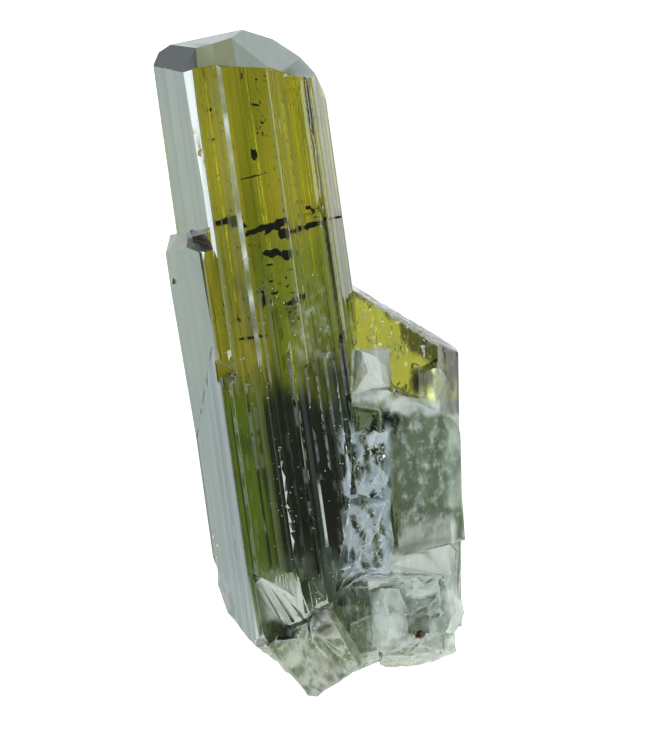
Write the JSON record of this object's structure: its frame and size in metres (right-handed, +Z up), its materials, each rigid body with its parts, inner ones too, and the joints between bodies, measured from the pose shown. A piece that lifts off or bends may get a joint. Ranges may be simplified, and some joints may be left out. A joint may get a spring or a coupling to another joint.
{
  "type": "epidote specimen",
  "caption": "Cluster of green epidote crystals lying on its flat back: a long striated prism with a chisel end, shorter crystals beside it and a broken glassy root.",
  "frame": {"origin": "under the middle of the specimen's box, on the surface that it rests on", "axes": "+X is the specimen's right, +Y runs up the long prism to its chisel end, +Z points up from the flat back to the front"},
  "size_m": [0.0282, 0.0602, 0.0121],
  "materials": {
    "epidote": "clear to cloudy olive-green crystal, vitreous, with fine growth lines",
    "rust_grain": "dark rust-red mineral grain"
  },
  "bodies": {
    "root": {"epidote_crystals": "epidote", "rust_grain": "rust_grain"}
  },
  "joints": []
}
